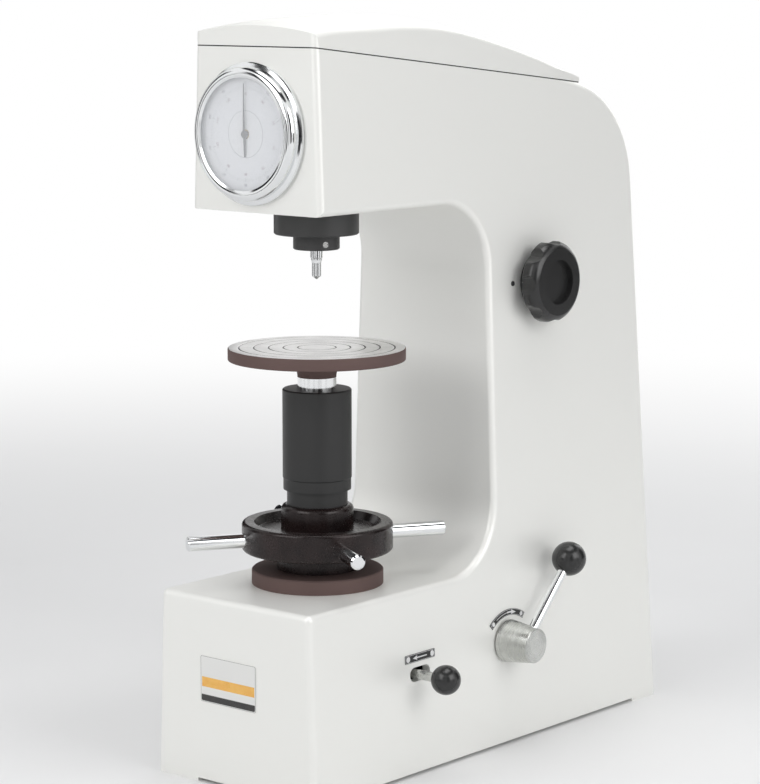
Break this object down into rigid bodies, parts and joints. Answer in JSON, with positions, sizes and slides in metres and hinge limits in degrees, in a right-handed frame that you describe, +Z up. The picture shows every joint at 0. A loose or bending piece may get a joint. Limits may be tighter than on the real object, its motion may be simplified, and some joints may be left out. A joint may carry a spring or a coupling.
{
  "type": "hardness tester",
  "caption": "Bench hardness tester with a dial gauge, lever-and-weight loading, elevating screw, round anvil and side hand levers.",
  "frame": {"origin": "where the axis of the elevating screw and spindle meets the bench, on the boss under the base", "axes": "+Z up, -Y towards the operator and the dial, +X towards the load knob and hand levers"},
  "size_m": [0.2235, 0.4734, 0.621],
  "materials": {
    "white_enamel": "warm off-white gloss enamel on cast iron",
    "black_rubber": "matt black rubber",
    "bright_steel": "turned steel",
    "satin_steel": "satin turned steel",
    "ground_steel": "ground steel",
    "brown_iron": "dark maroon-brown blued iron",
    "grey_iron": "grey machined iron",
    "bronze": "bearing bronze",
    "brass": "clock brass",
    "black_oxide": "black oxide on turned steel",
    "black_satin": "black satin enamel",
    "black_gloss": "gloss black phenolic",
    "chrome": "bright chrome",
    "aluminium": "turned aluminium",
    "dial_white": "pale printed dial",
    "clear_glass": "clear flat glass",
    "pointer_black": "black painted pointer",
    "plate_white": "white faced plate",
    "label_black": "black printed label"
  },
  "bodies": {
    "frame": {"body_casting": "white_enamel", "top_cover": "white_enamel", "cover_gasket": "black_rubber", "rear_cover": "white_enamel", "rear_cover_screws": "bright_steel", "base_flange": "brown_iron", "guide_bush": "bronze", "thrust_bearing": "bright_steel", "spindle_housing": "black_oxide", "head_bolts": "black_oxide", "fulcrum_bracket": "grey_iron", "fulcrum_seats": "bright_steel", "buffer_cylinder": "grey_iron", "buffer_cap": "bronze", "camshaft_post": "grey_iron", "unload_bush": "bronze", "rocker_post": "grey_iron", "selector_bush": "bronze", "selector_bearing": "bronze", "release_post": "grey_iron", "pivot_pins": "bright_steel", "gauge_case": "aluminium", "gauge_movement": "brass", "name_plate": "plate_white", "flank_labels": "label_black"},
    "bezel": {"bezel_ring": "chrome", "dial_plate": "dial_white", "dial_glass": "clear_glass"},
    "long_pointer": {"long_pointer": "pointer_black"},
    "short_pointer": {"short_pointer": "pointer_black"},
    "spindle": {"spindle": "bright_steel", "indenter_chuck": "black_oxide", "chuck_screw": "bright_steel", "indenter": "chrome"},
    "main_lever": {"main_lever": "grey_iron", "lever_knives": "bright_steel"},
    "gauge_lever": {"gauge_lever": "brass"},
    "gauge_plunger": {"gauge_plunger": "bright_steel"},
    "hanger": {"hanger_strap": "bright_steel", "hanger_rod": "bright_steel", "lower_weight": "grey_iron", "middle_weight": "grey_iron", "upper_weight": "grey_iron", "piston_rod": "bright_steel"},
    "rocker": {"lift_rocker": "grey_iron"},
    "unload_lever": {"unload_camshaft": "bright_steel", "unload_hub": "satin_steel", "unload_rod": "chrome", "unload_ball": "black_gloss"},
    "selector": {"selector_knob": "black_gloss", "selector_shaft": "bright_steel"},
    "release_lever": {"release_lever": "satin_steel", "release_ball": "black_gloss"},
    "elevating_screw": {"elevating_screw": "ground_steel", "upper_sleeve": "black_satin", "anvil": "ground_steel"},
    "handwheel": {"handwheel": "brown_iron", "handwheel_rods": "chrome", "elevating_nut": "bronze", "lower_sleeve": "black_satin"}
  },
  "joints": [
    {"name": "screw_lift", "type": "slide", "parent": "frame", "child": "elevating_screw", "axis": [0, 0, 1], "range_m": [-0.012, 0.055]},
    {"name": "handwheel_turn", "type": "hinge", "parent": "frame", "child": "handwheel", "pos_m": [0, 0, 0.195], "axis": [0, 0, 1], "range_deg": [-3961, 865]},
    {"name": "spindle_lift", "type": "slide", "parent": "frame", "child": "spindle", "axis": [0, 0, 1], "range_m": [0, 0.0005]},
    {"name": "main_lever_tilt", "type": "hinge", "parent": "frame", "child": "main_lever", "pos_m": [0, -0.025, 0.546], "axis": [1, 0, 0], "range_deg": [0, 1.15]},
    {"name": "gauge_lever_tilt", "type": "hinge", "parent": "frame", "child": "gauge_lever", "pos_m": [0, -0.028, 0.514], "axis": [1, 0, 0], "range_deg": [0, 1.8]},
    {"name": "gauge_plunger_slide", "type": "slide", "parent": "frame", "child": "gauge_plunger", "axis": [0, 1, 0], "range_m": [0, 0.00075]},
    {"name": "long_pointer_turn", "type": "hinge", "parent": "frame", "child": "long_pointer", "pos_m": [-0.003, -0.0728, 0.5285], "axis": [0, 1, 0], "range_deg": [0, 901]},
    {"name": "short_pointer_turn", "type": "hinge", "parent": "frame", "child": "short_pointer", "pos_m": [-0.003, -0.0728, 0.5285], "axis": [0, 1, 0], "range_deg": [0, 91]},
    {"name": "bezel_turn", "type": "hinge", "parent": "frame", "child": "bezel", "pos_m": [-0.003, -0.0728, 0.5285], "axis": [0, 1, 0], "continuous": true},
    {"name": "selector_turn", "type": "hinge", "parent": "frame", "child": "selector", "pos_m": [0, 0.2015, 0.3945], "axis": [1, 0, 0], "range_deg": [-90, 90]},
    {"name": "unload_turn", "type": "hinge", "parent": "frame", "child": "unload_lever", "pos_m": [0, 0.1495, 0.0905], "axis": [1, 0, 0], "range_deg": [0, 100]},
    {"name": "hanger_drop", "type": "slide", "parent": "frame", "child": "hanger", "axis": [0, 0, 1], "range_m": [-0.00303, 0]},
    {"name": "rocker_tilt", "type": "hinge", "parent": "frame", "child": "rocker", "pos_m": [0, 0.288, 0.1198], "axis": [1, 0, 0], "range_deg": [0, 2.9]},
    {"name": "release_turn", "type": "hinge", "parent": "frame", "child": "release_lever", "pos_m": [0.03, 0.0285, 0.085], "axis": [0, 0, 1], "range_deg": [-4.5, 11]}
  ],
  "couplings": [
    {"joint": "handwheel_turn", "follows": "screw_lift", "rad_per_m": -1256.6},
    {"joint": "main_lever_tilt", "follows": "spindle_lift", "rad_per_m": 40},
    {"joint": "gauge_lever_tilt", "follows": "spindle_lift", "rad_per_m": 62.5},
    {"joint": "gauge_plunger_slide", "follows": "spindle_lift", "ratio": 1.5},
    {"joint": "long_pointer_turn", "follows": "spindle_lift", "rad_per_m": 31416},
    {"joint": "short_pointer_turn", "follows": "spindle_lift", "rad_per_m": 3141.6},
    {"joint": "unload_turn", "follows": "hanger_drop", "rad_per_m": -575.54},
    {"joint": "rocker_tilt", "follows": "hanger_drop", "rad_per_m": -16.667}
  ]
}
